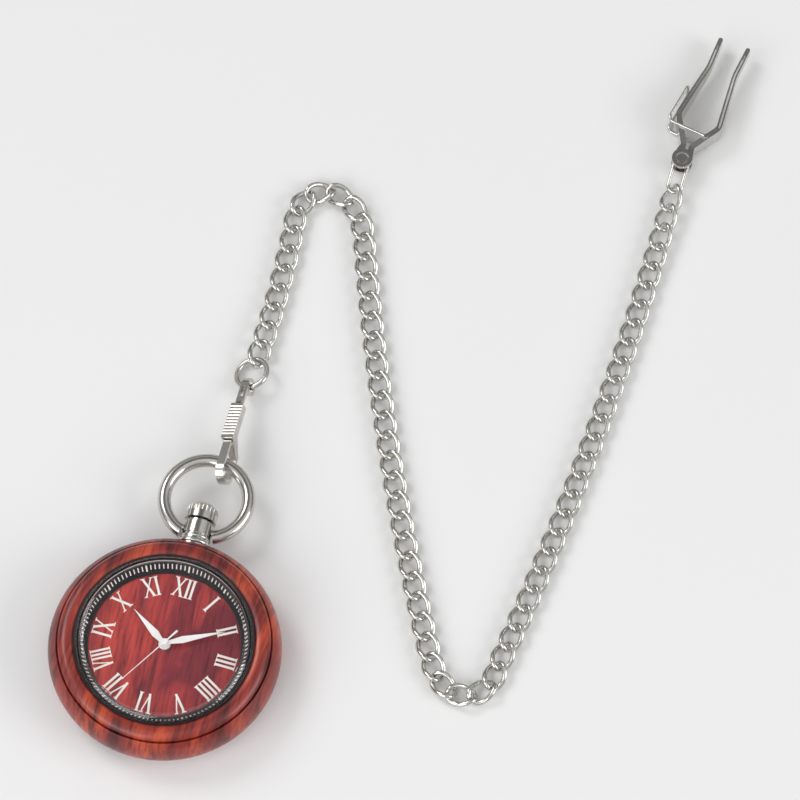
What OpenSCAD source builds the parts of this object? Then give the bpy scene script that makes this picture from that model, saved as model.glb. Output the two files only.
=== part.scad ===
// Wooden pocket watch on its curb chain, with the snap clasp and the belt clip.
// Millimetres. The watch lies on its flat back, dial up, crown towards +Y.

/* [Case] */
// Outside diameter of the wooden case
case_d = 45; // [40:0.5:52]
// Radius of the rounded edge of the case band
edge_r = 5.2; // [4.8:0.1:5.8]
// Opening diameter of the front bezel
bezel_id = 35; // [30:0.5:38]
// Radius of the rounded shoulder of the crystal
glass_shoulder = 2.4; // [1.4:0.1:2.8]
// Radius of the dome of the crystal
dome_r = 300; // [200:10:400]

/* [Dial and hands] */
// Visible diameter of the wooden dial
dial_d = 29.4; // [27:0.2:31]
// Width of the flat lip of the minute ring
ring_lip = 0.7; // [0.3:0.1:1]
// Depth from the crystal seat down to the dial
dial_depth = 2.4; // [2:0.1:3]
// Length of the hour hand from its centre
hour_len = 9.4; // [7:0.1:11]
// Length of the minute hand from its centre
minute_len = 11.8; // [9:0.1:13.5]
// Length of the seconds hand from its centre
second_len = 11; // [9:0.1:13]
// Clockwise angle of the minute hand from twelve
minute_angle = 65; // [0:1:360]
// Clockwise angle of the hour hand from twelve
hour_angle = 307; // [0:1:360]
// Clockwise angle of the seconds hand from twelve
second_angle = 213; // [0:1:360]

/* [Crown and bow] */
// Diameter of the winding crown
crown_d = 6.15; // [5:0.05:7]
// Number of flutes round the crown
crown_flutes = 24; // [16:1:30]
// Diameter of the pendant neck
neck_d = 5.7; // [5:0.1:6]
// Radius of the bow measured to the middle of its wire
bow_r = 8.2; // [7.6:0.1:9]
// Diameter of the bow wire
bow_wire = 2.6; // [2:0.1:2.8]

/* [Clasp] */
// Length of the clasp from the bow wire to its eye
clasp_len = 18.6; // [18:0.1:20]
// Width of the flat strip that makes the hook
strip_w = 1.6; // [1.4:0.1:1.8]
// Thickness of the flat strip
strip_t = 0.6; // [0.4:0.05:0.7]
// Length of the ribbed slide
slide_len = 8.5; // [8:0.1:9]
// Number of cross grooves on the slide
slide_grooves = 10; // [6:1:11]

/* [Chain] */
// Distance from one link to the next
pitch = 4.3; // [4.25:0.01:4.36]
// Diameter of the link wire along its sides
link_wire = 1.04; // [0.9:0.01:1.06]
// Width of a link between the middles of its side wires
link_w = 3.8; // [3.7:0.02:3.9]
// Length of a link between the middles of its end wires
link_l = 5.64; // [5.6:0.01:5.7]
// Turn of each link end out of the flat, half of the crossing angle
link_twist = 47; // [46:0.5:48]
// Radius of the jump ring to the middle of its wire
ring_r = 3.2; // [3:0.05:3.4]
// Wire diameter of the jump ring
ring_wire = 1.1; // [0.9:0.05:1.15]

/* [Belt clip] */
// Length of the clip from its pin to the jaw tips
clip_len = 27.7; // [25:0.1:30]
// Half opening of the jaws at the tips
jaw_tip = 2.95; // [2.7:0.05:3.6]
// Half width of the jaws at the bulge
jaw_bulge = 4.35; // [4:0.05:4.8]
// Half height of the jaws at their widest
jaw_half = 2.2; // [2:0.05:2.3]
// Thickness of the folded jaws
jaw_w = 1.15; // [1:0.05:1.2]
// Radius of the rolled knuckles round the pin
knuckle_r = 2.05; // [1.8:0.05:2.2]
// Reach of the oval link from the chain to the clip pin
oval_reach = 5.9; // [5.7:0.1:6.4]

/* [Hidden] */
$fn = 48;

wood = [0.55, 0.16, 0.12];
steel = [0.78, 0.77, 0.74];
black = [0.08, 0.08, 0.09];

// Heights of the watch, from the back up.
case_r = case_d / 2;
mid_z = edge_r + 0.3;
seat_r = case_r - 1.9;
cavity_r = case_r - 3.9;
back_h = 2.4;
bezel_z = mid_z + 2.9;
bezel_top = mid_z + edge_r;
glass_r = bezel_id / 2 - 0.05;
bezel_dome = 2.1;
glass_z = bezel_top - 1.1;
glass_t = 1;
shoulder_r = glass_r - glass_shoulder;
shoulder_z = glass_z + 0.1;
dome_sag = dome_r - sqrt(dome_r * dome_r - shoulder_r * shoulder_r);
dome_top = shoulder_z + glass_shoulder + dome_sag - 0.02;
dial_z = glass_z - dial_depth;
dial_t = 0.8;
holder_z = dial_z - dial_t;

// Pendant, crown and bow along +Y.
neck_y = case_r - 1.1;
neck_top = neck_y + 5.5;
neck_r = neck_d / 2;
hinge_y = neck_y + 3.9;
hinge_pin_r = 0.6;
crown_y = neck_top + 0.3;
crown_h = 4;
bow_y = hinge_y + bow_r - 1.5;
stem_r = 0.45;
run_fit = 0.08;

// Clasp, seen in its own frame: bow wire at the origin, eye towards +Y.
clasp_at = 14;
clasp_x = bow_r * sin(clasp_at);
hook_y = bow_y + bow_r * cos(clasp_at);
clasp_lean = 0.3;
clasp_dip = 12.5;
clasp_roll = 20;
hook_r = bow_wire / 2 + 0.72;
hook_back = 1.6;
hook_lip = 0.4;
strip_z = hook_r;
slot_w = 0.66;
eye_r = ring_wire / 2 + 0.6;
eye_w = 1.5;
eye_z = strip_z - eye_r;
slide_y = 4.3;
slide_wall = 0.36;
slide_x = strip_w / 2 + 0.08 + slide_wall;
slide_mid = strip_z + strip_t / 2;
slide_half = 0.98;
nose_w = 1.4;
rivet_y = 14.2;
tab_y = 4;
tab_l = 0.7;

function rot_x(v, a) = [v.x, v.y * cos(a) - v.z * sin(a), v.y * sin(a) + v.z * cos(a)];
function rot_y(v, a) = [v.x * cos(a) + v.z * sin(a), v.y, v.z * cos(a) - v.x * sin(a)];
function rot_z(v, a) = [v.x * cos(a) - v.y * sin(a), v.x * sin(a) + v.y * cos(a), v.z];
function from_clasp(v) = [clasp_x, hook_y, mid_z]
    + rot_z(rot_x(rot_y(v, -clasp_roll), -clasp_dip), clasp_lean);
function ahead(a) = [cos(a), sin(a), 0];
function unit(v) = v / norm(v);

// Jump ring: hangs in the eye of the clasp and dips to the first link.
ring_dip = 6;
ring_roll = 22;
ring_heading = 91;
eye_at = from_clasp([0, clasp_len, eye_z]);
ring_dir = [cos(ring_heading) * cos(ring_dip), sin(ring_heading) * cos(ring_dip), -sin(ring_dip)];
ring_c = eye_at + ring_r * ring_dir;

// Route of the chain: runs of [links, turn of each link in degrees].
start_heading = 86;
route = [
    [8, 1],
    [1, -26], [1, -44], [1, -42], [1, -26], [1, -24], [1, -4],
    [20, 0.4],
    [1, 4], [1, 22], [1, 42], [1, 44], [1, 36], [1, -4],
    [24, 0.36]
];
turns = [for (run = route) for (i = [1 : run[0]]) run[1]];
links = len(turns);
link_z = 1.21;
first_gap = ring_r + link_l / 2 - ring_wire / 2 - link_wire / 2 - 0.42;
route_start = [ring_c.x, ring_c.y, 0] + (first_gap - pitch / 2) * ahead(start_heading);
headings = [
    for (i = 0, h = start_heading + turns[0]; i < links; i = i + 1, h = h + (i < links ? turns[i] : 0)) h
];
pivots = [
    for (i = 0, p = route_start; i <= links; p = p + pitch * ahead(i < links ? headings[i] : 0), i = i + 1) p
];

// The links next to the flat jump ring and the oval link lie rolled over.
function link_roll(i) = max(0, 18 - 6 * i) - max(0, 24 - 6 * (links - 1 - i));
function link_rise(i) = link_z + 0.03 * abs(link_roll(i));

// A link is a twisted ring of eight arcs. Each quarter joins the side wire to the end wire.
half_w = link_w / 2;
half_l = link_l / 2;
side_r = link_wire / 2;
end_r = side_r - 0.06;
side_slope = atan(half_w * link_twist * PI / 180 / half_l);
side_at = [half_w, 0, 0];
side_dir = [0, cos(side_slope), sin(side_slope)];
end_at = [0, half_l, 0];
end_dir = [cos(link_twist), 0, sin(link_twist)];
span = end_at - side_at;
bend = side_dir - end_dir;
bend_k = 4 - bend * bend;
reach = (sqrt((span * bend) * (span * bend) + bend_k * (span * span)) - span * bend) / bend_k;
meet = (side_at + reach * side_dir + end_at + reach * end_dir) / 2;

function inward(p, t, q) = unit((q - p) - ((q - p) * t) * t);
function arc_radius(p, t, q) = ((q - p) * (q - p)) / (2 * ((q - p) * inward(p, t, q)));
function arc_angle(p, t, q) = 2 * atan2((q - p) * inward(p, t, q), (q - p) * t);

side_in = inward(side_at, side_dir, meet);
side_turn = atan2(side_in * [0, -sin(side_slope), cos(side_slope)], -side_in.x);
end_in = inward(end_at, end_dir, meet);
end_turn = atan2(end_in * [-sin(link_twist), 0, cos(link_twist)], end_in.y);

// Oval link and belt clip at the far end of the chain. The clip's frame has its pin at the origin.
oval_heading = 88;
oval_wire = 0.8;
oval_r = 1.35;
clip_heading = 80.4;
clip_z = 2.85;
pin_r = 0.6;
barrel_half = 1.7;
link_gap = 0.78;
bail_r = 0.28;
last_pivot = pivots[links];
oval_start = [last_pivot.x, last_pivot.y, link_rise(links - 1)];
clip_at = [last_pivot.x, last_pivot.y, clip_z] + oval_reach * ahead(oval_heading);
oval_axis = clip_at - oval_start;
oval_near = 0.68;
oval_far = pin_r + oval_wire / 2 + 0.25;
oval_len = norm(oval_axis) + oval_near + oval_far;
oval_pitch = asin(oval_axis.z / norm(oval_axis));
oval_turn = atan2(oval_axis.y, oval_axis.x);
oval_c = oval_start + unit(oval_axis) * (oval_len / 2 - oval_near);

// Jaw outline: neck, bulge, knee and tip, with rounded bends, and its half height along the way.
neck = [0.8, 2.9];
bulge = [jaw_bulge, 8.6];
knee = [2.75, 21];
tip = [jaw_tip, clip_len];
bail_at = neck + 0.52 * (bulge - neck);
leaf = [[-3, 1.6], [3, 1.6], [6.5, 0.93 * jaw_half], [8.5, 0.985 * jaw_half], [10.5, jaw_half],
    [12.5, 0.985 * jaw_half], [15, 0.93 * jaw_half], [21, 0.68 * jaw_half], [29, 0.4 * jaw_half]];

function bend_pts(a, b, c, r, n = 8) =
    let (u = unit(a - b), v = unit(c - b), w = unit(u + v), h = acos(u * v) / 2)
    let (o = b + w * r / sin(h), s = b + u * r / tan(h), e = b + v * r / tan(h))
    let (a0 = atan2(s.y - o.y, s.x - o.x), d = atan2(e.y - o.y, e.x - o.x) - a0)
    let (sweep = d > 180 ? d - 360 : d < -180 ? d + 360 : d)
    [for (i = [0 : n]) o + r * [cos(a0 + sweep * i / n), sin(a0 + sweep * i / n)]];
jaw_path = concat(
    [[1.2, 1.2]], bend_pts([1.2, 1.2], neck, bulge, 1), bend_pts(neck, bulge, knee, 2.2),
    bend_pts(bulge, knee, tip, 14), [tip]);
function along(p, i) = unit(p[min(i + 1, len(p) - 1)] - p[max(i - 1, 0)]);
function left_of(p, i) = [-along(p, i).y, along(p, i).x];
function ribbon(p, w0, w1) = let (n = len(p) - 1) concat(
    [for (i = [0 : n]) p[i] + left_of(p, i) * (w0 + (w1 - w0) * p[i].y / p[n].y) / 2],
    [for (i = [n : -1 : 0]) p[i] - left_of(p, i) * (w0 + (w1 - w0) * p[i].y / p[n].y) / 2]);

module ring_profile(r0, r1, z0, z1) {
    translate([r0, z0]) square([r1 - r0, z1 - z0]);
}

// Wooden middle band with ledges for the bezel and the back, bored for the pendant.
module case_band() {
    color(wood) difference() {
        rotate_extrude($fn = 120) difference() {
            intersection() {
                translate([case_r - edge_r, mid_z]) circle(edge_r);
                ring_profile(cavity_r, case_r + 1, 0, 2 * mid_z);
            }
            ring_profile(0, seat_r, bezel_z, 2 * mid_z);
            ring_profile(0, seat_r, -1, back_h);
            polygon([
                [seat_r - 0.5, bezel_z + 0.7], [seat_r, bezel_z + 0.7], [seat_r + 0.35, bezel_z + 1],
                [seat_r + 0.35, bezel_z + 3], [seat_r - 0.5, bezel_z + 3]
            ]);
        }
        translate([0, cavity_r - 1, mid_z]) rotate([-90, 0, 0]) cylinder(h = 9, r = 1.85);
        translate([0, neck_y, mid_z]) rotate([-90, 0, 0]) cylinder(h = 5, r = neck_r + 0.5);
    }
}

// Wooden ring that frames the crystal, crowned across its width.
module front_bezel() {
    color(wood) rotate_extrude($fn = 120) intersection() {
        translate([bezel_id / 2 + 1.2, bezel_top - bezel_dome]) circle(bezel_dome, $fn = 96);
        ring_profile(bezel_id / 2, seat_r - 0.15, bezel_z, bezel_top + 1);
    }
}

// Wooden back, the face the watch rests on.
module case_back() {
    color(wood) rotate_extrude($fn = 120) {
        out = seat_r - 0.15;
        ring_profile(0, out - 1.2, 0, back_h);
        ring_profile(0, out, 1.2, back_h);
        translate([out - 1.2, 1.2]) circle(1.2);
    }
}

// Half section of the crystal, or of its hollow, drawn in by the inset.
module glass_profile(inset) {
    intersection() {
        translate([0, dome_top - dome_r]) circle(dome_r - inset, $fn = 720);
        union() {
            ring_profile(0, glass_r - inset, glass_z - inset, shoulder_z);
            ring_profile(0, shoulder_r, glass_z - inset, dome_top + 1);
            translate([shoulder_r, shoulder_z]) circle(glass_shoulder - inset, $fn = 96);
        }
    }
}

// Domed crystal with a rounded shoulder, resting on the minute ring inside the bezel.
module crystal() {
    color([0.85, 0.9, 0.95, 0.35]) rotate_extrude($fn = 120) intersection() {
        difference() {
            glass_profile(0);
            glass_profile(glass_t);
        }
        ring_profile(0, glass_r + 1, glass_z, dome_top + 1);
    }
}

// Black ring with a flat lip on the dial and a steep wall that carries the minute marks.
module minute_ring() {
    color(black) rotate_extrude($fn = 120)
        polygon([
            [dial_d / 2, dial_z], [glass_r, dial_z], [glass_r, glass_z],
            [glass_r - 0.75, glass_z], [dial_d / 2 + ring_lip, dial_z + 0.25], [dial_d / 2, dial_z + 0.25]
        ]);
}

// Wooden dial disc with the hole for the hands.
module dial() {
    color(wood) translate([0, 0, holder_z]) difference() {
        cylinder(h = dial_t, r = glass_r - 0.1, $fn = 120);
        translate([0, 0, -1]) cylinder(h = dial_t + 2, r = 1.2);
    }
}

// Ring that centres the movement in the case and carries the dial.
module movement_holder() {
    color([0.85, 0.84, 0.8]) difference() {
        translate([0, 0, back_h]) cylinder(h = holder_z - back_h, r = cavity_r - 0.15, $fn = 96);
        translate([0, 0, back_h - 1]) cylinder(h = holder_z, r = 11, $fn = 96);
        translate([-0.9, 8, mid_z - 0.9]) cube([1.8, case_r, holder_z]);
    }
}

// Quartz movement: main plate, bridge with a cell pocket and a coil recess.
module movement() {
    color([0.72, 0.7, 0.62]) difference() {
        union() {
            translate([0, 0, holder_z - 1.8]) cylinder(h = 1.8, r = 10.8, $fn = 96);
            translate([0, 0, back_h + 0.8]) cylinder(h = holder_z - back_h - 1.5, r = 9.6, $fn = 96);
        }
        translate([0, 0, back_h]) cylinder(h = 6, r = 0.95 + run_fit);
        translate([-4.6, -3.4, back_h]) cylinder(h = 2.9, r = 3.6);
        translate([1.6, -6.4, back_h]) cube([6, 2.6, 1.8]);
        translate([0, 7, mid_z]) rotate([-90, 0, 0]) cylinder(h = 5, r = stem_r + run_fit);
    }
}

// Button cell in the pocket of the movement.
module battery() {
    color(steel) translate([-4.6, -3.4, back_h + 0.6]) {
        cylinder(h = 1.9, r = 3.4);
        cylinder(h = 2.3, r = 2.8);
    }
}

// Leaf hand with its boss and the tube or arbor that drives it.
module leaf_hand(length, width, z, boss_r, tube_r, bore_r, foot_z) {
    difference() {
        union() {
            translate([0, 0, z]) linear_extrude(0.2) polygon([
                [-0.24, 0], [-width / 2, 0.3 * length], [-0.14, 0.86 * length], [0, length],
                [0.14, 0.86 * length], [width / 2, 0.3 * length], [0.24, 0]
            ]);
            translate([0, 0, z - 0.08]) cylinder(h = 0.36, r = boss_r);
            translate([0, 0, foot_z]) cylinder(h = z - foot_z, r = tube_r);
        }
        if (bore_r > 0) translate([0, 0, foot_z - 1]) cylinder(h = 9, r = bore_r);
    }
}

module hour_hand() {
    color(steel) rotate([0, 0, -hour_angle])
        leaf_hand(hour_len, 1.5, dial_z + 0.4, 1.15, 0.95, 0.55 + run_fit, holder_z - 0.6);
}

module minute_hand() {
    color(steel) rotate([0, 0, -minute_angle])
        leaf_hand(minute_len, 1.4, dial_z + 0.95, 0.85, 0.55, 0.2 + run_fit, holder_z - 0.7);
}

// Centre seconds hand with a counterweight tail.
module second_hand() {
    color(steel) rotate([0, 0, -second_angle]) {
        z = dial_z + 1.5;
        translate([0, 0, z]) linear_extrude(0.16) polygon([
            [-0.2, -3.4], [0.2, -3.4], [0.09, 0], [0.05, second_len], [-0.05, second_len], [-0.09, 0]
        ]);
        translate([0, 0, z - 0.06]) cylinder(h = 0.3, r = 0.55);
        translate([0, 0, holder_z - 0.8]) cylinder(h = z - holder_z + 0.9, r = 0.2);
    }
}

// Setting stem from the movement out to the crown.
module stem() {
    color(steel) translate([0, 7.6, mid_z]) rotate([-90, 0, 0]) difference() {
        cylinder(h = crown_y + 1.9 - 7.6, r = stem_r);
        translate([0, 0, 1.2]) rotate_extrude() ring_profile(stem_r - 0.12, stem_r + 1, 0, 0.5);
    }
}

// Crown: plain band below, domed and fluted above.
module crown() {
    color(steel) translate([0, crown_y, mid_z]) rotate([-90, 0, 0]) difference() {
        rotate_extrude($fn = 72) intersection() {
            ring_profile(0, crown_d / 2, 0, crown_h);
            translate([0, crown_h - 3.6]) circle(3.6, $fn = 96);
        }
        translate([0, 0, -1]) cylinder(h = 3, r = stem_r + run_fit);
        for (i = [0 : crown_flutes - 1]) rotate([0, 0, 360 * i / crown_flutes])
            translate([crown_d / 2 + 0.06, 0, 1.5]) cylinder(h = crown_h, r = 0.3, $fn = 16);
    }
}

// Pendant: tube into the case, beaded foot and neck drilled for the bow.
module pendant() {
    color(steel) difference() {
        translate([0, 0, mid_z]) rotate([-90, 0, 0]) rotate_extrude() {
            bore = stem_r + run_fit;
            ring_profile(bore, 1.8, cavity_r + 0.2, neck_y + 0.2);
            ring_profile(bore, neck_r + 0.15, neck_y, neck_y + 1.6);
            translate([neck_r - 0.05, neck_y + 0.85]) circle(0.5);
            ring_profile(bore, neck_r - 0.1, neck_y, neck_y + 2.4);
            translate([neck_r - 0.2, neck_y + 1.95]) circle(0.35);
            ring_profile(bore, neck_r, neck_y + 2.6, neck_top - 0.4);
            ring_profile(bore, neck_r - 0.3, neck_y, neck_top);
        }
        for (s = [-1, 1]) translate([s * 1.7, hinge_y, mid_z]) rotate([0, s * 90, 0])
            cylinder(h = 3, r = hinge_pin_r + run_fit);
    }
}

// Bow: an open wire ring, flat at its ends, with pivots that enter the neck.
module bow() {
    cut = neck_r + 0.25;
    color(steel) {
        difference() {
            translate([0, bow_y, mid_z]) rotate([0, 0, -68]) rotate_extrude(angle = 316, $fn = 96)
                translate([bow_r, 0]) circle(bow_wire / 2, $fn = 32);
            translate([-cut, bow_y - bow_r - 3, mid_z - 3]) cube([2 * cut, 6, 6]);
        }
        for (s = [-1, 1]) translate([s * 2, hinge_y, mid_z]) rotate([0, s * 90, 0])
            cylinder(h = cut - 1.6, r = hinge_pin_r);
    }
}

module at_clasp() {
    translate([clasp_x, hook_y, mid_z]) rotate([0, 0, clasp_lean]) rotate([-clasp_dip, 0, 0])
        rotate([0, -clasp_roll, 0]) children();
}

// Flat strip bent into the hook at one end and the eye at the other, slotted between.
module clasp_frame() {
    color(steel) at_clasp() {
        translate([0, -hook_back, 0]) {
            multmatrix([[0, 0, 1, 0], [0, -1, 0, 0], [1, 0, 0, 0]]) rotate_extrude(angle = 180)
                translate([hook_r, -strip_w / 2]) square([strip_t, strip_w]);
            translate([-strip_w / 2, 0, -hook_r - strip_t]) cube([strip_w, hook_back + hook_lip, strip_t]);
        }
        difference() {
            translate([-strip_w / 2, -hook_back, strip_z]) cube([strip_w, hook_back + clasp_len, strip_t]);
            translate([-slot_w / 2, 5, strip_z - 1]) cube([slot_w, clasp_len - 6, 3]);
        }
        translate([0, clasp_len, eye_z]) multmatrix([[0, 0, -1, 0], [0, 1, 0, 0], [1, 0, 0, 0]])
            rotate_extrude(angle = 310) translate([eye_r, -eye_w / 2]) square([strip_t, eye_w]);
    }
}

// Ribbed sleeve that slides back along the strip. Its nose shuts the hook.
module clasp_slide() {
    top = slide_mid + slide_half;
    low = slide_mid - slide_half;
    lip = hook_lip + 0.1;
    color(steel) at_clasp() {
        difference() {
            translate([-slide_x, slide_y, low]) cube([2 * slide_x, slide_len, 2 * slide_half]);
            translate([slide_wall - slide_x, slide_y - 1, low + slide_wall])
                cube([2 * (slide_x - slide_wall), slide_len + 2, 2 * (slide_half - slide_wall)]);
            for (i = [0 : slide_grooves - 1])
                translate([-slide_x - 1, slide_y + 0.9 + i * (slide_len - 1) / slide_grooves, top + 0.1])
                    rotate([0, 90, 0]) cylinder(h = 2 * slide_x + 2, r = 0.27, $fn = 24);
        }
        translate([-nose_w / 2, 0, 0]) rotate([90, 0, 90]) linear_extrude(nose_w) polygon([
            [slide_y + 0.3, low + 0.2], [slide_y + 3.6, low + 0.2], [3.6, -hook_r - strip_t],
            [lip, -hook_r - strip_t], [lip, -hook_r], [2.5, -hook_r]
        ]);
        translate([-0.2, slide_y + tab_y, low + slide_wall / 2]) cube([0.4, tab_l, slide_mid - low]);
    }
}

// Rivet across the slot, the stop for the spring.
module clasp_pin() {
    color(steel) at_clasp() translate([0, rivet_y, strip_z]) {
        translate([0, 0, -0.22]) cylinder(h = strip_t + 0.44, r = slot_w / 2 - 0.03);
        translate([0, 0, strip_t]) cylinder(h = 0.22, r = 0.7);
        translate([0, 0, -0.22]) cylinder(h = 0.22, r = 0.7);
    }
}

// Wave spring in the slot, from the tab of the slide to the rivet.
module clasp_spring() {
    far = rivet_y - slot_w / 2 - 0.02;
    near = slide_y + tab_y + tab_l + 0.06;
    waves = 24;
    step = (far - near) / (waves + 0.5);
    path = [for (i = [0 : waves]) [i % 2 == 0 ? -0.22 : 0.22, far - 0.06 - i * step]];
    color(steel) at_clasp() translate([0, 0, strip_z + 0.15]) linear_extrude(0.3) polygon(concat(
        [for (p = path) p + [0.05, 0]],
        [for (i = [waves : -1 : 0]) path[i] - [0.05, 0]]));
}

// Split jump ring between the clasp and the chain.
module jump_ring() {
    gap = 9;
    color(steel) translate(ring_c) rotate([0, 0, ring_heading - 90]) rotate([-ring_dip, 0, 0])
        rotate([0, -ring_roll, 0]) rotate([0, 0, -12]) rotate_extrude(angle = 360 - gap, $fn = 64)
            translate([ring_r, 0]) circle(ring_wire / 2, $fn = 24);
}

// Two arcs of wire that leave one point in opposite directions.
module wire_pair(wire, radius, angle, turn) {
    for (half = [0, 180]) rotate([half, 0, 0]) rotate([0, turn, 0]) translate([-radius, 0, 0])
        rotate_extrude(angle = angle, $fn = 60) translate([radius, 0]) circle(wire, $fn = 20);
}

// One curb link, long axis along Y. The end wires run a little way into the side wires.
module curb_link() {
    side_arc = arc_radius(side_at, side_dir, meet);
    end_arc = arc_radius(end_at, end_dir, meet);
    for (f = [0, 180]) rotate([0, 0, f]) {
        translate(side_at) rotate([side_slope, 0, 0])
            wire_pair(side_r, side_arc, arc_angle(side_at, side_dir, meet), side_turn);
        translate(end_at) rotate([0, -link_twist, 0]) rotate([0, 0, -90])
            wire_pair(end_r, end_arc, arc_angle(end_at, end_dir, meet) + 6, end_turn);
    }
}

// Link number i of the route, counted from nought.
module route_link(i) {
    middle = (pivots[i] + pivots[i + 1]) / 2;
    translate([middle.x, middle.y, link_rise(i)]) rotate([0, 0, headings[i] - 90])
        rotate([0, link_roll(i), 0]) curb_link();
}

// Two linked curb links, the unit of the chain.
module chain_pair(k) {
    color(steel) for (i = [2 * k - 2, 2 * k - 1]) route_link(i);
}

module chain_01() { chain_pair(1); }
module chain_02() { chain_pair(2); }
module chain_03() { chain_pair(3); }
module chain_04() { chain_pair(4); }
module chain_05() { chain_pair(5); }
module chain_06() { chain_pair(6); }
module chain_07() { chain_pair(7); }
module chain_08() { chain_pair(8); }
module chain_09() { chain_pair(9); }
module chain_10() { chain_pair(10); }
module chain_11() { chain_pair(11); }
module chain_12() { chain_pair(12); }
module chain_13() { chain_pair(13); }
module chain_14() { chain_pair(14); }
module chain_15() { chain_pair(15); }
module chain_16() { chain_pair(16); }
module chain_17() { chain_pair(17); }
module chain_18() { chain_pair(18); }
module chain_19() { chain_pair(19); }
module chain_20() { chain_pair(20); }
module chain_21() { chain_pair(21); }
module chain_22() { chain_pair(22); }
module chain_23() { chain_pair(23); }
module chain_24() { chain_pair(24); }
module chain_25() { chain_pair(25); }
module chain_26() { chain_pair(26); }
module chain_27() { chain_pair(27); }
module chain_28() { chain_pair(28); }
module chain_29() { chain_pair(29); }
module chain_30() { chain_pair(30); }
module chain_31() { chain_pair(31); }
module chain_32() { chain_pair(32); }

// Long oval link from the chain to the clip pin.
module clip_link() {
    straight = oval_len - 2 * oval_r;
    color(steel) translate(oval_c) rotate([0, 0, oval_turn - 90]) rotate([oval_pitch, 0, 0])
        for (f = [0, 180]) rotate([0, 0, f]) {
            translate([0, straight / 2, 0]) rotate_extrude(angle = 180)
                translate([oval_r, 0]) circle(oval_wire / 2, $fn = 24);
            translate([oval_r, -straight / 2, 0]) rotate([-90, 0, 0])
                cylinder(h = straight, r = oval_wire / 2, $fn = 24);
        }
}

module at_clip() {
    translate(clip_at) rotate([0, 0, clip_heading - 90]) children();
}

// Right jaw with its knuckle below: a leaf of strip folded double from the bulge to the tip.
module jaw(bore_r) {
    fold = [for (p = jaw_path) if (p.y > bulge.y && p.y < clip_len - 1) p];
    fold_end = tip - [0, 1.5];
    difference() {
        union() {
            intersection() {
                translate([0, 0, -5]) linear_extrude(10) {
                    polygon(ribbon(jaw_path, jaw_w, 0.9));
                    translate(tip) circle(0.45);
                }
                translate([-8, 0, 0]) rotate([90, 0, 90]) linear_extrude(16) polygon(concat(
                    leaf, [for (i = [len(leaf) - 1 : -1 : 0]) [leaf[i].x, -leaf[i].y]]));
            }
            translate([0, 0, -barrel_half]) cylinder(h = barrel_half - link_gap, r = knuckle_r);
        }
        translate([0, 0, -link_gap]) cylinder(h = 9, r = knuckle_r + 0.12);
        translate([0, 0, -barrel_half - 1]) cylinder(h = 1.5, r = knuckle_r - 0.75);
        translate([0, 0, -5]) linear_extrude(10) polygon(ribbon(concat(fold, [fold_end]), 0.4, 0.32));
        translate([0, 0, -9]) cylinder(h = 18, r = bore_r);
    }
}

module clip_arm_left() {
    color(steel) at_clip() rotate([0, 180, 0]) jaw(pin_r + 0.02);
}

module clip_arm_right() {
    color(steel) at_clip() difference() {
        jaw(pin_r + run_fit);
        for (f = [0, 1]) mirror([0, 0, f]) translate([bail_at.x, bail_at.y, 1.15])
            cylinder(h = 2, r = bail_r + run_fit);
    }
}

// Hinge pin of the clip, its heads let into the knuckles.
module clip_pin() {
    head_z = barrel_half - 0.5;
    color(steel) at_clip() {
        translate([0, 0, -head_z - 0.2]) cylinder(h = 2 * head_z + 0.4, r = pin_r);
        translate([0, 0, head_z]) cylinder(h = 0.35, r = 1);
        translate([0, 0, -head_z - 0.37]) cylinder(h = 0.35, r = 1);
    }
}

// Wire bail hinged in the right jaw, passing round the outside of the left jaw.
module clip_bail() {
    leg_z = 0.95 * jaw_half + bail_r + 0.1;
    thick = bail_r + 0.02;
    lap = 0.15;
    corner = [-jaw_bulge - 1.4, 6.4];
    end = [-jaw_bulge - 0.5, 14.9];
    leg = corner - bail_at;
    rise = end - corner;
    leg_turn = atan2(leg.y, leg.x);
    rise_turn = atan2(rise.y, rise.x);
    turn = leg_turn - rise_turn;
    round_r = 1.2;
    cut = round_r * tan(turn / 2);
    end_r = 0.8;
    color(steel) at_clip() {
        for (side = [0, 1]) mirror([0, 0, side]) translate([0, 0, leg_z]) {
            translate([bail_at.x, bail_at.y, 0]) rotate([0, 0, leg_turn]) {
                translate([0, 0, -thick]) cylinder(h = 2 * thick, r = bail_r + 0.12);
                translate([0, 0, 1.25 - leg_z]) cylinder(h = leg_z - 1.3, r = bail_r);
                rotate([0, 90, 0]) cylinder(h = norm(leg) - cut + lap, r = bail_r);
                translate([norm(leg) - cut, -round_r, 0]) rotate([0, 0, 90 - turn])
                    rotate_extrude(angle = turn) translate([round_r, 0]) circle(thick, $fn = 20);
            }
            translate([corner.x, corner.y, 0]) rotate([0, 0, rise_turn]) {
                translate([cut - lap, 0, 0]) rotate([0, 90, 0])
                    cylinder(h = norm(rise) - cut - end_r + 2 * lap, r = bail_r);
                translate([norm(rise) - end_r, 0, -end_r]) rotate([90, 0, 0])
                    rotate_extrude(angle = 90) translate([end_r, 0]) circle(thick, $fn = 20);
            }
        }
        translate([end.x, end.y, end_r - leg_z - lap])
            cylinder(h = 2 * (leg_z - end_r + lap), r = bail_r);
    }
}

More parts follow.
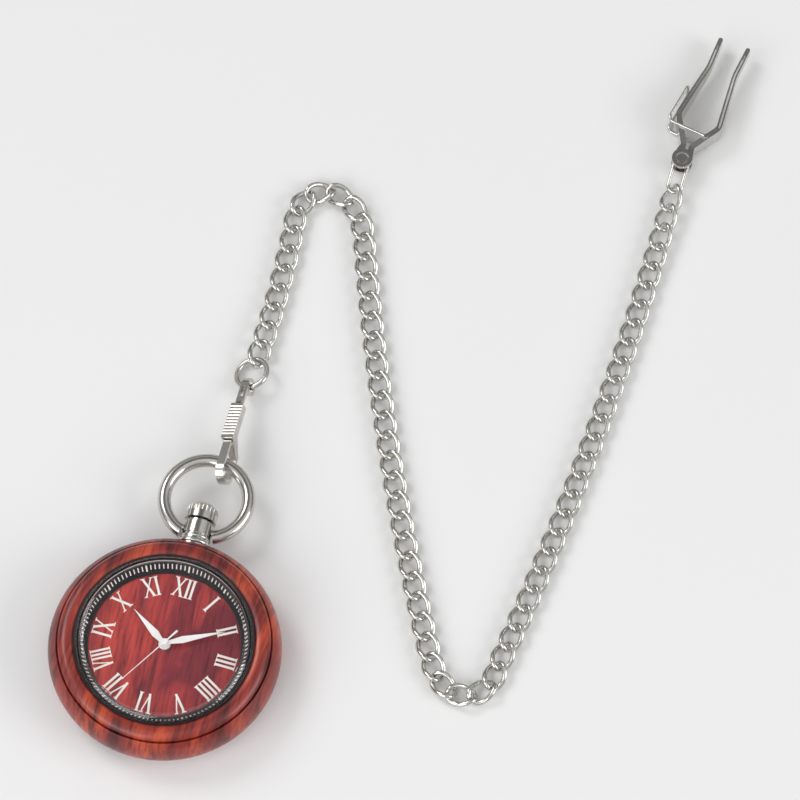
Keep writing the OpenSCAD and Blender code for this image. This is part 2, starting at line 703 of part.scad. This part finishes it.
case_band();
front_bezel();
case_back();
crystal();
minute_ring();
dial();
movement_holder();
movement();
battery();
hour_hand();
minute_hand();
second_hand();
stem();
crown();
pendant();
bow();
clasp_frame();
clasp_slide();
clasp_pin();
clasp_spring();
jump_ring();
chain_01();
chain_02();
chain_03();
chain_04();
chain_05();
chain_06();
chain_07();
chain_08();
chain_09();
chain_10();
chain_11();
chain_12();
chain_13();
chain_14();
chain_15();
chain_16();
chain_17();
chain_18();
chain_19();
chain_20();
chain_21();
chain_22();
chain_23();
chain_24();
chain_25();
chain_26();
chain_27();
chain_28();
chain_29();
chain_30();
chain_31();
chain_32();
clip_link();
clip_arm_left();
clip_arm_right();
clip_pin();
clip_bail();
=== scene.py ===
import math

import bmesh
import bpy
from mathutils import Matrix, Vector


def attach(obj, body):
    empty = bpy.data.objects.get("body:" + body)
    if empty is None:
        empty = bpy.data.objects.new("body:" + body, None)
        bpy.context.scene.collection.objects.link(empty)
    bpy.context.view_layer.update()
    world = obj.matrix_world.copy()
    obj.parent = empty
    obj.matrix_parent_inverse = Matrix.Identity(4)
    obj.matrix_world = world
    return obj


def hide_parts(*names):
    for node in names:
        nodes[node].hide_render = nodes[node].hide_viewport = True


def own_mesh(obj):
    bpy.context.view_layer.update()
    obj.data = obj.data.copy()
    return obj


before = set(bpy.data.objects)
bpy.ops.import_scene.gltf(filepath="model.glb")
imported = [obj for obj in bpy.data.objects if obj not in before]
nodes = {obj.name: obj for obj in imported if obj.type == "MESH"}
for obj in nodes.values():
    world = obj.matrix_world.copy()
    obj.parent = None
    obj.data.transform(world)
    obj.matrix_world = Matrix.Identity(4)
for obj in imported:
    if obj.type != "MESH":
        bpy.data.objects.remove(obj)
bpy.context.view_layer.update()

scene = bpy.context.scene
scene.view_settings.view_transform = "Standard"
MM = 0.001

# Sizes shared with the part, in millimetres.
DIAL_Z = 7.2
DIAL_R = 14.7
DIAL_TURN = 3  # degrees clockwise of the crown
RING_FOOT = (DIAL_R + 0.7, DIAL_Z + 0.25)  # radius and height of the minute ring's wall
RING_HEAD = (16.7, 9.6)

# Camera at the photograph's angle: a long lens, 66.5 degrees above the floor. In millimetres.
CAMERA_AT = (144.276, -401.237, 1100.472)
CAMERA_AIM = (30.949, 63.648, 0.0)
CAMERA_LENS, CAMERA_SENSOR = 274.95, 36.0
CAMERA_CLIP = (0.05, 20.0)  # metres

# Numerals, in millimetres.
HOURS = ["XII", "I", "II", "III", "IIII", "V", "VI", "VII", "VIII", "IX", "X", "XI"]
LETTER_H = 3.95
LETTER_WIDTH = {"I": 0.92, "V": 2.40, "X": 2.55}
THICK, THIN, SERIF = 0.46, 0.25, 0.20
NUMERAL_FOOT_R = 10.3
NUMERAL_LOW, NUMERAL_HIGH = -0.03, 0.06  # below and above the dial
STROKE_STEP = 0.004  # crossing strokes end at different heights
LONGEST, LONGEST_SQUEEZE = "VIII", 0.86

# Minute marks: start and end along the ring's wall, from 0 to 1, and half their width.
MARKS = 120
LONG_EVERY = 10
LONG_MARK = (0.02, 0.62, 0.16)
SHORT_MARK = (0.14, 0.60, 0.11)
MARK_SUNK, MARK_PROUD = -0.05, 0.035

# Section of a black ring between the crystal and the bezel, painted shade for the shadow under the bezel's
# inner edge; radius and height in millimetres.
SHADE_RING_SECTION = [(16.40, 9.50), (17.49, 9.50), (17.49, 10.62), (17.12, 10.62),
          (17.20, 10.3), (17.25, 10.0), (17.25, 9.72), (16.40, 9.72)]
SHADE_RING_SEGMENTS = 144

# Studio, in metres and watts.
FLOOR_COLOUR, FLOOR_RADIUS, FLOOR_DROP = (0.83, 0.83, 0.83, 1), 4.0, 0.0002
SKY = [(0.0, 0.80), (0.06, 0.30), (0.14, 0.10), (0.32, 0.20), (0.60, 0.52), (1.0, 0.80)]
CARD_TOWARD = (-0.0944, 0.3874, 0.917)
CARD = [(0.90, 1.0), (0.97, 0.22)]
LAMPS = [  # name, place, target, size, power
    ("key", (-1.44, 0.68, 1.66), (0.03, 0.05, 0.0), (0.90, 0.90), 12.0),
    ("front_left", (-0.72, -1.20, 0.95), (0.0, 0.0, 0.0), (1.70, 0.95), 14.4),
    ("front_right", (1.48, -0.10, 0.80), (0.0, 0.0, 0.0), (1.05, 0.85), 10.4),
]


def add_object(name, data):
    obj = bpy.data.objects.new(name, data)
    scene.collection.objects.link(obj)
    return obj


def aim(obj, place, target):
    """Puts a camera or lamp at a place and turns it to a target."""
    obj.location = place
    obj.rotation_mode = "QUATERNION"
    obj.rotation_quaternion = (Vector(target) - obj.location).to_track_quat("-Z", "Y")


def make_camera():
    data = bpy.data.cameras.new("camera")
    data.lens, data.sensor_width = CAMERA_LENS, CAMERA_SENSOR
    data.clip_start, data.clip_end = CAMERA_CLIP
    scene.camera = add_object("camera", data)
    aim(scene.camera, Vector(CAMERA_AT) * MM, Vector(CAMERA_AIM) * MM)


make_camera()


# Materials
class Graph:
    """The node tree of a material or world, with short calls for making and linking nodes."""

    def __init__(self, owner, output="ShaderNodeOutputMaterial"):
        self.owner = owner
        owner.use_nodes = True
        self.tree = owner.node_tree
        self.tree.nodes.clear()
        self.out = self.node(output)

    def node(self, kind, **values):
        n = self.tree.nodes.new(kind)
        for key, value in values.items():
            setattr(n, key, value)
        return n

    def link(self, a, b):
        self.tree.links.new(a, b)

    def shader(self, **sockets):
        """A Principled shader, linked to the output, with constant values on its sockets."""
        n = self.node("ShaderNodeBsdfPrincipled")
        for key, value in sockets.items():
            n.inputs[key.replace("_", " ")].default_value = value
        self.link(n.outputs["BSDF"], self.out.inputs["Surface"])
        return n

    def place(self, scale, turn=(0, 0, 0), shift=0.0):
        """Object coordinates in millimetres, turned by degrees and then scaled and shifted."""
        coords = self.node("ShaderNodeTexCoord")
        turned = self.node("ShaderNodeMapping")
        turned.inputs["Rotation"].default_value = [math.radians(a) for a in turn]
        turned.inputs["Scale"].default_value = (1 / MM, 1 / MM, 1 / MM)
        placed = self.node("ShaderNodeMapping")
        placed.inputs["Scale"].default_value = scale
        placed.inputs["Location"].default_value = (shift, shift, shift)
        self.link(coords.outputs["Object"], turned.inputs["Vector"])
        self.link(turned.outputs["Vector"], placed.inputs["Vector"])
        return placed.outputs["Vector"]

    def noise(self, vector, detail, rough=0.5, distort=0.0):
        n = self.node("ShaderNodeTexNoise")
        n.inputs["Scale"].default_value = 1.0
        n.inputs["Detail"].default_value = detail
        n.inputs["Roughness"].default_value = rough
        n.inputs["Distortion"].default_value = distort
        self.link(vector, n.inputs["Vector"])
        return n.outputs["Fac"]

    def ramp(self, fac, *stops):
        """A colour ramp. Each stop is a position and a colour or a grey level."""
        n = self.node("ShaderNodeValToRGB")
        while len(n.color_ramp.elements) < len(stops):
            n.color_ramp.elements.new(0.5)
        for e, (at, colour) in zip(n.color_ramp.elements, stops):
            e.position = at
            e.color = (*colour, 1) if isinstance(colour, tuple) else (colour,) * 3 + (1,)
        self.link(fac, n.inputs["Fac"])
        return n.outputs["Color"]

    def mix(self, fac, a, b, kind="MIX"):
        n = self.node("ShaderNodeMix", data_type="RGBA", blend_type=kind)
        for socket, value in ((n.inputs[0], fac), (n.inputs[6], a), (n.inputs[7], b)):
            if isinstance(value, bpy.types.NodeSocket):
                self.link(value, socket)
            else:
                socket.default_value = (*value, 1) if isinstance(value, tuple) else value
        return n.outputs[2]

    def spread(self, fac, low, high):
        """Takes 0 to 1 over to low to high."""
        n = self.node("ShaderNodeMapRange")
        n.inputs["To Min"].default_value = low
        n.inputs["To Max"].default_value = high
        self.link(fac, n.inputs["Value"])
        return n.outputs["Result"]

    def bump(self, height, shader, strength, distance):
        n = self.node("ShaderNodeBump")
        n.inputs["Strength"].default_value = strength
        n.inputs["Distance"].default_value = distance
        self.link(height, n.inputs["Height"])
        self.link(n.outputs["Normal"], shader.inputs["Normal"])


def red_wood(name, turn, tones, coat, shift, drift=0.0):
    """Red hardwood with its grain along Y: broad patches, soft dark streaks and a few fine pores.

    tones are maroon, red and orange. shift picks a place in the pattern.
    drift takes the left side to orange and the right side to maroon.
    """
    maroon, red, orange = tones
    g = Graph(bpy.data.materials.new(name))
    s = g.shader(Specular_IOR_Level=0.4, Coat_Weight=coat, Coat_Roughness=0.16)
    patch = g.noise(g.place((0.12, 0.05, 0.04), turn, shift), 3.0, 0.5, 0.9)
    bands = g.noise(g.place((0.38, 0.03, 0.08), turn, shift), 5.0, 0.6, 0.7)
    streak = g.noise(g.place((1.6, 0.14, 0.35), turn), 2.0, 0.5, 0.5)
    fibre = g.noise(g.place((3.6, 0.16, 0.8), turn), 4.0, 0.6, 0.3)
    pores = g.noise(g.place((5.5, 0.7, 1.4), turn), 1.0)
    if drift:
        split = g.node("ShaderNodeSeparateXYZ")
        g.link(g.place((1, 1, 1), turn), split.inputs["Vector"])
        across = g.node("ShaderNodeMath", operation="MULTIPLY_ADD")
        across.inputs[1].default_value = -drift
        g.link(split.outputs["X"], across.inputs[0])
        g.link(patch, across.inputs[2])
        patch = across.outputs["Value"]
    colour = g.ramp(patch, (0.34, maroon), (0.46, red), (0.52, red), (0.64, orange))
    colour = g.mix(g.ramp(bands, (0.36, 0.85), (0.54, 0.0)), colour, maroon)
    colour = g.mix(1.0, colour, g.ramp(streak, (0.48, 1.0), (0.68, 0.54)), "MULTIPLY")
    colour = g.mix(1.0, colour, g.ramp(fibre, (0.36, 0.84), (0.64, 1.0)), "MULTIPLY")
    colour = g.mix(1.0, colour, g.ramp(pores, (0.66, 1.0), (0.78, 0.55)), "MULTIPLY")
    g.link(colour, s.inputs["Base Color"])
    g.link(g.spread(fibre, 0.32, 0.50), s.inputs["Roughness"])
    g.bump(g.mix(0.5, g.ramp(pores, (0.64, 1.0), (0.76, 0.0)), fibre), s, 0.22, 0.00005)
    return g.owner


def polished(name, colour, rough, lines_depth=0.04):
    """Plated metal with a faint cloudiness and fine polishing lines."""
    g = Graph(bpy.data.materials.new(name))
    s = g.shader(Metallic=1.0)
    cloud = g.noise(g.place((0.5, 0.5, 0.5)), 3.0)
    lines = g.noise(g.place((6.0, 1.5, 6.0)), 2.0)
    shade = tuple(c * f for c, f in zip(colour, (0.88, 0.87, 0.85)))
    g.link(g.mix(g.ramp(cloud, (0.35, 0.0), (0.7, 1.0)), colour, shade), s.inputs["Base Color"])
    g.link(g.spread(g.mix(0.4, cloud, lines), rough * 0.6, rough * 1.5), s.inputs["Roughness"])
    if lines_depth:
        g.bump(lines, s, lines_depth, 0.00002)
    return g.owner


def plain(name, colour, rough, vary=0.12, metal=0.0):
    """Painted or moulded surface with slight unevenness."""
    g = Graph(bpy.data.materials.new(name))
    s = g.shader(Metallic=metal)
    cloud = g.noise(g.place((0.9, 0.9, 0.9)), 4.0)
    low = tuple(c * (1 - vary) for c in colour)
    g.link(g.mix(cloud, low, colour), s.inputs["Base Color"])
    g.link(g.spread(cloud, rough * 0.8, rough * 1.2), s.inputs["Roughness"])
    return g.owner


def clear_glass(name):
    """Clear glass that lets the lamps through to the dial."""
    g = Graph(bpy.data.materials.new(name))
    s = g.shader(Base_Color=(1, 1, 1, 1), Roughness=0.0, IOR=1.48, Transmission_Weight=1.0)
    see = g.node("ShaderNodeBsdfTransparent")
    pick = g.node("ShaderNodeMixShader")
    path = g.node("ShaderNodeLightPath")
    g.link(path.outputs["Is Shadow Ray"], pick.inputs["Fac"])
    g.link(s.outputs["BSDF"], pick.inputs[1])
    g.link(see.outputs["BSDF"], pick.inputs[2])
    g.link(pick.outputs["Shader"], g.out.inputs["Surface"])
    return g.owner


CASE_TONES = ((0.10, 0.011, 0.012), (0.33, 0.036, 0.025), (0.53, 0.072, 0.030))
DIAL_TONES = ((0.18, 0.014, 0.024), (0.40, 0.036, 0.037), (0.52, 0.052, 0.040))
WOOD_SHIFT = 9.4
wood_case = red_wood("wood_case", (0, 0, 4), CASE_TONES, 0.35, WOOD_SHIFT)
wood_dial = red_wood("wood_dial", (0, 0, -3), DIAL_TONES, 0.1, WOOD_SHIFT, 0.008)
nickel = polished("nickel", (0.66, 0.64, 0.61), 0.20)
chain_metal = polished("chain_metal", (0.70, 0.69, 0.66), 0.17, 0.0)
clip_metal = polished("clip_metal", (0.68, 0.67, 0.64), 0.20, 0.0)
hand_metal = plain("hand_metal", (0.88, 0.87, 0.86), 0.5, 0.08, 0.35)
steel = polished("steel", (0.55, 0.55, 0.55), 0.3)
brass = polished("movement_plate", (0.55, 0.48, 0.33), 0.35)
black_paint = plain("black_paint", (0.010, 0.010, 0.012), 0.35)
holder_plastic = plain("holder_plastic", (0.55, 0.54, 0.50), 0.5)
white_paint = plain("white_paint", (0.82, 0.79, 0.75), 0.45, 0.06)
glass = clear_glass("crystal_glass")

# A node takes its own look, or else that of its family, or else nickel.
LOOKS = {
    "case_band": wood_case, "front_bezel": wood_case, "case_back": wood_case, "dial": wood_dial,
    "crystal": glass, "minute_ring": black_paint, "movement_holder": holder_plastic,
    "movement": brass, "battery": steel, "stem": steel, "clasp_spring": steel,
    "hour_hand": hand_metal, "minute_hand": hand_metal, "second_hand": hand_metal,
}
FAMILY_LOOKS = {"chain": chain_metal, "clip": clip_metal}
for name, obj in nodes.items():
    family = name.split("_")[0]
    obj.data.materials.clear()
    obj.data.materials.append(LOOKS.get(name, FAMILY_LOOKS.get(family, nickel)))


# Pieces of the watch and the clasp
def add_piece(name, bm, material, body):
    bmesh.ops.recalc_face_normals(bm, faces=bm.faces[:])
    mesh = bpy.data.meshes.new(name)
    bm.to_mesh(mesh)
    bm.free()
    mesh.materials.append(material)
    obj = add_object(name, mesh)
    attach(obj, body)


def close_solid(bm, low, high):
    """Joins two loops of points by side faces, with a face over each loop."""
    bm.faces.new(low[::-1])
    bm.faces.new(high)
    for i in range(len(low)):
        j = (i + 1) % len(low)
        bm.faces.new((low[i], low[j], high[j], high[i]))


def stroke(x0, y0, x1, y1, width):
    """A slanting stroke cut level at both ends."""
    half = width / 2 * math.hypot(x1 - x0, y1 - y0) / abs(y1 - y0)
    return [(x0 - half, y0), (x0 + half, y0), (x1 + half, y1), (x1 - half, y1)]


def serif(x, top, half):
    """A serif that widens from the stroke to the end of the letter."""
    end, root = (LETTER_H, LETTER_H - SERIF) if top else (0, SERIF)
    return [(x - half, end), (x - half * 0.6, root), (x + half * 0.6, root), (x + half, end)]


def letter(kind, x):
    """Outlines of one letter, standing on 0, with its left side at x."""
    width = LETTER_WIDTH[kind]
    mid = x + width / 2
    if kind == "I":
        return [stroke(mid, 0, mid, LETTER_H, THICK), serif(mid, True, 0.47), serif(mid, False, 0.47)]
    left, right = x + 0.48, x + width - 0.42
    if kind == "V":
        return [stroke(mid + 0.05, 0, left, LETTER_H, THICK),
                stroke(mid - 0.05, 0, right, LETTER_H, THIN),
                serif(left, True, 0.56), serif(right, True, 0.42)]
    return [stroke(right, 0, left, LETTER_H, THICK), stroke(left, 0, right, LETTER_H, THIN),
            serif(left, True, 0.52), serif(right, True, 0.42),
            serif(left, False, 0.42), serif(right, False, 0.52)]


def make_numerals():
    bm = bmesh.new()
    for hour, word in enumerate(HOURS):
        place = (Matrix.Rotation(-math.radians(30 * hour + DIAL_TURN), 4, "Z")
                 @ Matrix.Translation((0, NUMERAL_FOOT_R * MM, DIAL_Z * MM)))
        if word == LONGEST:
            place = place @ Matrix.Diagonal((LONGEST_SQUEEZE, 1, 1, 1))
        x = -sum(LETTER_WIDTH[c] for c in word) / 2
        for c in word:
            for i, outline in enumerate(letter(c, x)):
                loops = [[bm.verts.new(place @ Vector((px * MM, py * MM, z * MM))) for px, py in outline]
                         for z in (NUMERAL_LOW, NUMERAL_HIGH - STROKE_STEP * i)]
                close_solid(bm, *loops)
            x += LETTER_WIDTH[c]
    add_piece("numerals", bm, white_paint, "watch")


def make_minute_marks():
    """Marks on the ring's wall, each a small bar that stands a little proud."""
    (r0, z0), (r1, z1) = RING_FOOT, RING_HEAD
    slope = math.hypot(r1 - r0, z1 - z0)
    normal = Vector((0, -(z1 - z0) / slope, (r1 - r0) / slope))
    bm = bmesh.new()
    for i in range(MARKS):
        start, end, half = SHORT_MARK if i % LONG_EVERY else LONG_MARK
        turn = Matrix.Rotation(-math.radians(360 / MARKS * i + DIAL_TURN), 4, "Z")
        loops = []
        for lift in (MARK_SUNK, MARK_PROUD):
            loop = []
            for t, side in ((start, -1), (start, 1), (end, 1), (end, -1)):
                p = Vector((side * half, r0 + t * (r1 - r0), z0 + t * (z1 - z0))) + normal * lift
                loop.append(bm.verts.new(turn @ (p * MM)))
            loops.append(loop)
        close_solid(bm, *loops)
    add_piece("minute_marks", bm, white_paint, "watch")


def make_painted_shade_ring():
    """Black ring between the crystal and the bezel: painted shade for the shadow under the bezel's inner
    edge, its inner side a little way into the glass.
    """
    bm = bmesh.new()
    rings = []
    for i in range(SHADE_RING_SEGMENTS):
        a = 2 * math.pi * i / SHADE_RING_SEGMENTS
        rings.append([bm.verts.new((r * MM * math.cos(a), r * MM * math.sin(a), z * MM)) for r, z in SHADE_RING_SECTION])
    for ring, after in zip(rings, rings[1:] + rings[:1]):
        for i in range(len(SHADE_RING_SECTION)):
            j = (i + 1) % len(SHADE_RING_SECTION)
            bm.faces.new((ring[i], ring[j], after[j], after[i]))
    add_piece("crystal_edge_painted_shade", bm, black_paint, "watch")


def make_spring():
    """The clasp's spring: a copy of the CAD part on the clasp's body, with the CAD node hidden."""
    cad = nodes["clasp_spring"]
    obj = add_object("spring_wire", cad.data.copy())
    obj.matrix_world = cad.matrix_world.copy()
    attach(obj, "clasp")
    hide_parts("clasp_spring")
    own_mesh(obj)


make_numerals()
make_minute_marks()
# Black ring of painted shade at the crystal's edge, for the bezel's shadow.
make_painted_shade_ring()
make_spring()


# Floor, world and lamps
def make_floor():
    g = Graph(bpy.data.materials.new("floor"))
    g.shader(Base_Color=FLOOR_COLOUR, Roughness=0.9, Specular_IOR_Level=0.1)
    bm = bmesh.new()
    bmesh.ops.create_circle(bm, cap_ends=True, segments=64, radius=FLOOR_RADIUS)
    mesh = bpy.data.meshes.new("floor")
    bm.to_mesh(mesh)
    bm.free()
    mesh.materials.append(g.owner)
    obj = add_object("floor", mesh)
    obj.location.z = -FLOOR_DROP


def make_world():
    """Grey studio: pale overhead and at the floor's end, darker between.

    A dark card stands where the crystal mirrors it to the camera.
    """
    scene.world = bpy.data.worlds.new("studio")
    g = Graph(scene.world, "ShaderNodeOutputWorld")
    coords = g.node("ShaderNodeTexCoord")
    split = g.node("ShaderNodeSeparateXYZ")
    toward = g.node("ShaderNodeVectorMath", operation="DOT_PRODUCT")
    toward.inputs[1].default_value = CARD_TOWARD
    g.link(coords.outputs["Generated"], split.inputs["Vector"])
    g.link(coords.outputs["Generated"], toward.inputs[0])
    sky = g.ramp(split.outputs["Z"], *SKY)
    card = g.ramp(toward.outputs["Value"], *CARD)
    back = g.node("ShaderNodeBackground")
    back.inputs["Strength"].default_value = 1.0
    g.link(g.mix(1.0, sky, card, "MULTIPLY"), back.inputs["Color"])
    g.link(back.outputs["Background"], g.out.inputs["Surface"])


def make_lamp(name, place, target, size, watts):
    data = bpy.data.lights.new(name, "AREA")
    data.shape, data.energy = "RECTANGLE", watts
    data.size, data.size_y = size
    aim(add_object(name, data), place, target)


make_floor()
make_world()
for values in LAMPS:
    make_lamp(*values)
